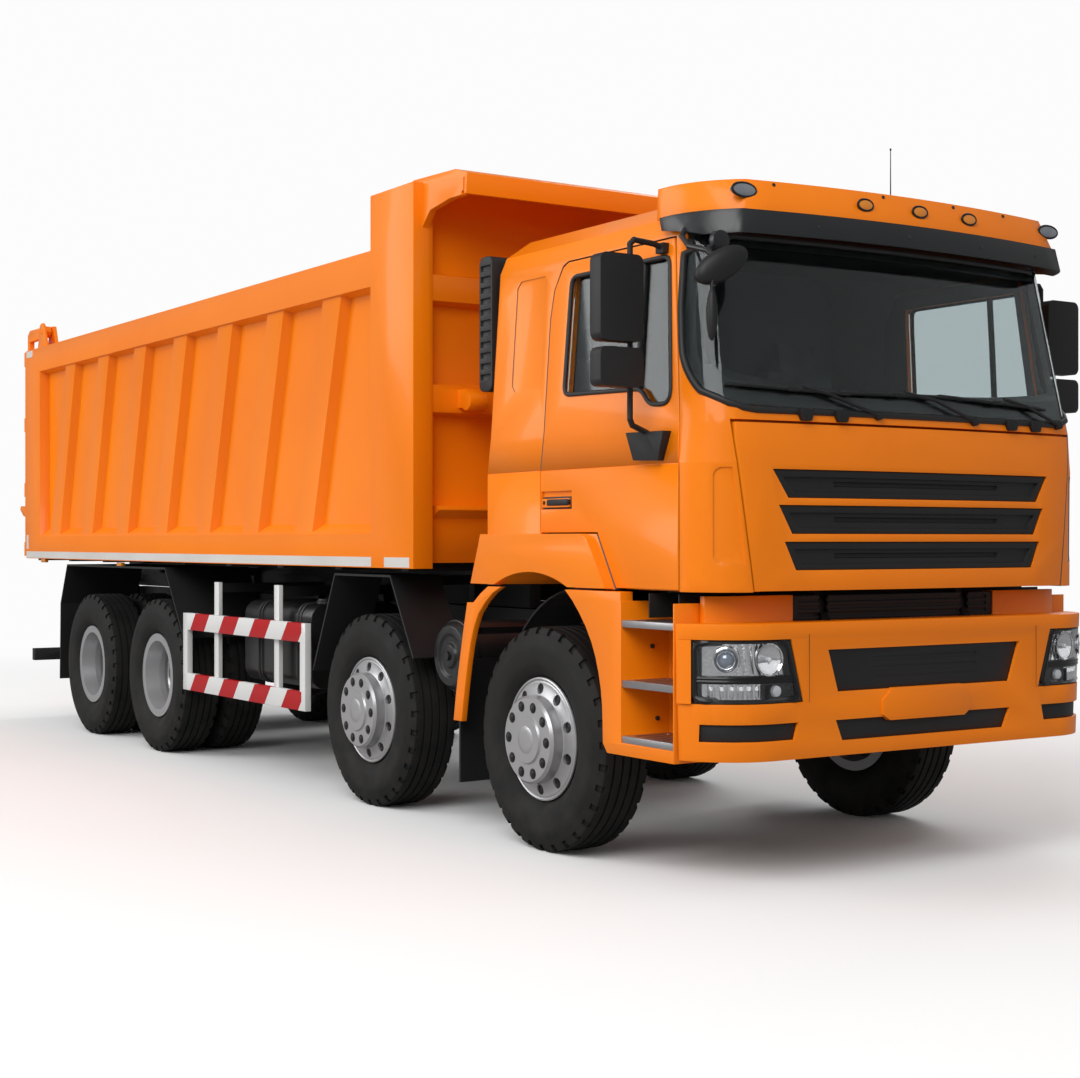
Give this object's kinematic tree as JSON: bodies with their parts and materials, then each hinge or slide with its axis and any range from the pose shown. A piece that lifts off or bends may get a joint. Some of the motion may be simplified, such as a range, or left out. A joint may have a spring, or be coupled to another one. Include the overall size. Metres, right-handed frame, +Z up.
{
  "type": "dump truck",
  "caption": "Heavy cab-over tipper truck with a ribbed dump body, tilting cab, steered front axles and a telescopic front hoist.",
  "frame": {"origin": "on the ground under the middle of the bounding box", "axes": "+X forward, +Y to the truck's left, +Z up"},
  "size_m": [9.64, 3.06, 3.4898],
  "materials": {
    "orange_paint": "gloss",
    "frame_black": "satin",
    "cast_grey": "matte",
    "core_grey": "matte",
    "spring_steel": "satin",
    "tank_black": "satin",
    "guard_white": "gloss",
    "black_plastic": "matte",
    "lamp_clear": "gloss",
    "tread_alloy": "satin",
    "tinted_glass": "gloss",
    "lamp_amber": "gloss",
    "dark_visor": "gloss",
    "seat_cloth": "matte",
    "dash_grey": "matte",
    "hoist_paint": "satin",
    "hoist_chrome": "polished",
    "tyre_rubber": "matte",
    "wheel_silver": "satin"
  },
  "bodies": {
    "chassis": {"chassis_frame": "frame_black", "engine": "cast_grey", "radiator": "core_grey", "front_axles": "frame_black", "rear_axles": "frame_black", "leaf_springs": "spring_steel", "fuel_tank": "tank_black", "battery_box": "tank_black", "air_filter": "tank_black", "side_guards": "guard_white", "mudguards": "black_plastic", "underrun_bar": "frame_black", "lamps": "lamp_clear", "front_bumper": "orange_paint", "bumper_grille": "black_plastic", "lower_fenders": "orange_paint", "step_treads": "tread_alloy"},
    "cab": {"cab_shell": "orange_paint", "windscreen": "tinted_glass", "roof_visor": "orange_paint", "roof_lamps": "lamp_amber", "sun_visor": "dark_visor", "snorkel": "black_plastic", "seats": "seat_cloth", "dashboard": "dash_grey"},
    "lid": {"front_lid": "orange_paint", "grilles": "black_plastic"},
    "door_assembly_left": {"door_left": "orange_paint", "door_glass_left": "tinted_glass", "mirror_left": "black_plastic"},
    "door_assembly_right": {"door_right": "orange_paint", "door_glass_right": "tinted_glass", "mirror_right": "black_plastic"},
    "bed": {"dump_body": "orange_paint"},
    "gate": {"tailgate": "orange_paint"},
    "hoist_base": {"hoist_barrel": "hoist_paint"},
    "hoist_tube_1": {"hoist_stage_1": "hoist_chrome"},
    "hoist_tube_2": {"hoist_stage_2": "hoist_chrome"},
    "hoist_tube_3": {"hoist_stage_3": "hoist_chrome"},
    "knuckle_1_left_body": {"knuckle_1_left": "frame_black"},
    "roadwheel_1_left": {"tyre_1_left": "tyre_rubber", "wheel_1_left": "wheel_silver"},
    "knuckle_1_right_body": {"knuckle_1_right": "frame_black"},
    "roadwheel_1_right": {"tyre_1_right": "tyre_rubber", "wheel_1_right": "wheel_silver"},
    "knuckle_2_left_body": {"knuckle_2_left": "frame_black"},
    "roadwheel_2_left": {"tyre_2_left": "tyre_rubber", "wheel_2_left": "wheel_silver"},
    "knuckle_2_right_body": {"knuckle_2_right": "frame_black"},
    "roadwheel_2_right": {"tyre_2_right": "tyre_rubber", "wheel_2_right": "wheel_silver"},
    "roadwheels_3_left": {"tyres_3_left": "tyre_rubber", "wheels_3_left": "wheel_silver"},
    "roadwheels_3_right": {"tyres_3_right": "tyre_rubber", "wheels_3_right": "wheel_silver"},
    "roadwheels_4_left": {"tyres_4_left": "tyre_rubber", "wheels_4_left": "wheel_silver"},
    "roadwheels_4_right": {"tyres_4_right": "tyre_rubber", "wheels_4_right": "wheel_silver"}
  },
  "joints": [
    {"name": "bed_tilt", "type": "hinge", "parent": "chassis", "child": "bed", "pos_m": [-4.27, 0, 1.205], "axis": [0, -1, 0], "range_deg": [0, 47]},
    {"name": "tailgate_swing", "type": "hinge", "parent": "bed", "child": "gate", "pos_m": [-4.2, 0, 3.285], "axis": [0, 1, 0], "range_deg": [0, 75]},
    {"name": "hoist_pivot", "type": "hinge", "parent": "chassis", "child": "hoist_base", "pos_m": [2.405, 0, 1.01], "axis": [0, -1, 0], "range_deg": [0, 29.59]},
    {"name": "cab_tilt", "type": "hinge", "parent": "chassis", "child": "cab", "pos_m": [4.65, 0, 1.05], "axis": [0, 1, 0], "range_deg": [0, 50]},
    {"name": "door_left_swing", "type": "hinge", "parent": "cab", "child": "door_assembly_left", "pos_m": [4.499, 1.19, 1.65], "axis": [0, 0, -1], "range_deg": [0, 70]},
    {"name": "door_right_swing", "type": "hinge", "parent": "cab", "child": "door_assembly_right", "pos_m": [4.499, -1.19, 1.65], "axis": [0, 0, 1], "range_deg": [0, 70]},
    {"name": "lid_lift", "type": "hinge", "parent": "cab", "child": "lid", "pos_m": [4.771, 0, 2.025], "axis": [0, -1, 0], "range_deg": [0, 60]},
    {"name": "hoist_extend_1", "type": "slide", "parent": "hoist_base", "child": "hoist_tube_1", "axis": [0, 0, 1], "range_m": [0, 1.7356]},
    {"name": "hoist_extend_2", "type": "slide", "parent": "hoist_tube_1", "child": "hoist_tube_2", "axis": [0, 0, 1], "range_m": [0, 1.7356]},
    {"name": "hoist_extend_3", "type": "slide", "parent": "hoist_tube_2", "child": "hoist_tube_3", "axis": [0, 0, 1], "range_m": [0, 1.7356]},
    {"name": "steer_1_left", "type": "hinge", "parent": "chassis", "child": "knuckle_1_left_body", "pos_m": [3.35, 0.838, 0.55], "axis": [0, 0, 1], "range_deg": [-36, 36]},
    {"name": "spin_1_left", "type": "hinge", "parent": "knuckle_1_left_body", "child": "roadwheel_1_left", "pos_m": [3.35, 1.024, 0.55], "axis": [0, 1, 0], "continuous": true},
    {"name": "steer_1_right", "type": "hinge", "parent": "chassis", "child": "knuckle_1_right_body", "pos_m": [3.35, -0.838, 0.55], "axis": [0, 0, 1], "range_deg": [-36, 36]},
    {"name": "spin_1_right", "type": "hinge", "parent": "knuckle_1_right_body", "child": "roadwheel_1_right", "pos_m": [3.35, -1.024, 0.55], "axis": [0, 1, 0], "continuous": true},
    {"name": "steer_2_left", "type": "hinge", "parent": "chassis", "child": "knuckle_2_left_body", "pos_m": [1.55, 0.838, 0.55], "axis": [0, 0, 1], "range_deg": [-26, 26]},
    {"name": "spin_2_left", "type": "hinge", "parent": "knuckle_2_left_body", "child": "roadwheel_2_left", "pos_m": [1.55, 1.024, 0.55], "axis": [0, 1, 0], "continuous": true},
    {"name": "steer_2_right", "type": "hinge", "parent": "chassis", "child": "knuckle_2_right_body", "pos_m": [1.55, -0.838, 0.55], "axis": [0, 0, 1], "range_deg": [-26, 26]},
    {"name": "spin_2_right", "type": "hinge", "parent": "knuckle_2_right_body", "child": "roadwheel_2_right", "pos_m": [1.55, -1.024, 0.55], "axis": [0, 1, 0], "continuous": true},
    {"name": "spin_3_left", "type": "hinge", "parent": "chassis", "child": "roadwheels_3_left", "pos_m": [-1.625, 1.085, 0.55], "axis": [0, 1, 0], "continuous": true},
    {"name": "spin_3_right", "type": "hinge", "parent": "chassis", "child": "roadwheels_3_right", "pos_m": [-1.625, -1.085, 0.55], "axis": [0, 1, 0], "continuous": true},
    {"name": "spin_4_left", "type": "hinge", "parent": "chassis", "child": "roadwheels_4_left", "pos_m": [-3.025, 1.085, 0.55], "axis": [0, 1, 0], "continuous": true},
    {"name": "spin_4_right", "type": "hinge", "parent": "chassis", "child": "roadwheels_4_right", "pos_m": [-3.025, -1.085, 0.55], "axis": [0, 1, 0], "continuous": true}
  ],
  "couplings": [
    {"joint": "hoist_pivot", "follows": "bed_tilt", "ratio": 0.61896},
    {"joint": "hoist_extend_1", "follows": "bed_tilt", "m_per_rad": 2.1036},
    {"joint": "hoist_extend_2", "follows": "bed_tilt", "m_per_rad": 2.1036},
    {"joint": "hoist_extend_3", "follows": "bed_tilt", "m_per_rad": 2.1036},
    {"joint": "steer_1_right", "follows": "steer_1_left", "ratio": 1},
    {"joint": "steer_2_left", "follows": "steer_1_left", "ratio": 0.72},
    {"joint": "steer_2_right", "follows": "steer_1_left", "ratio": 0.72}
  ]
}
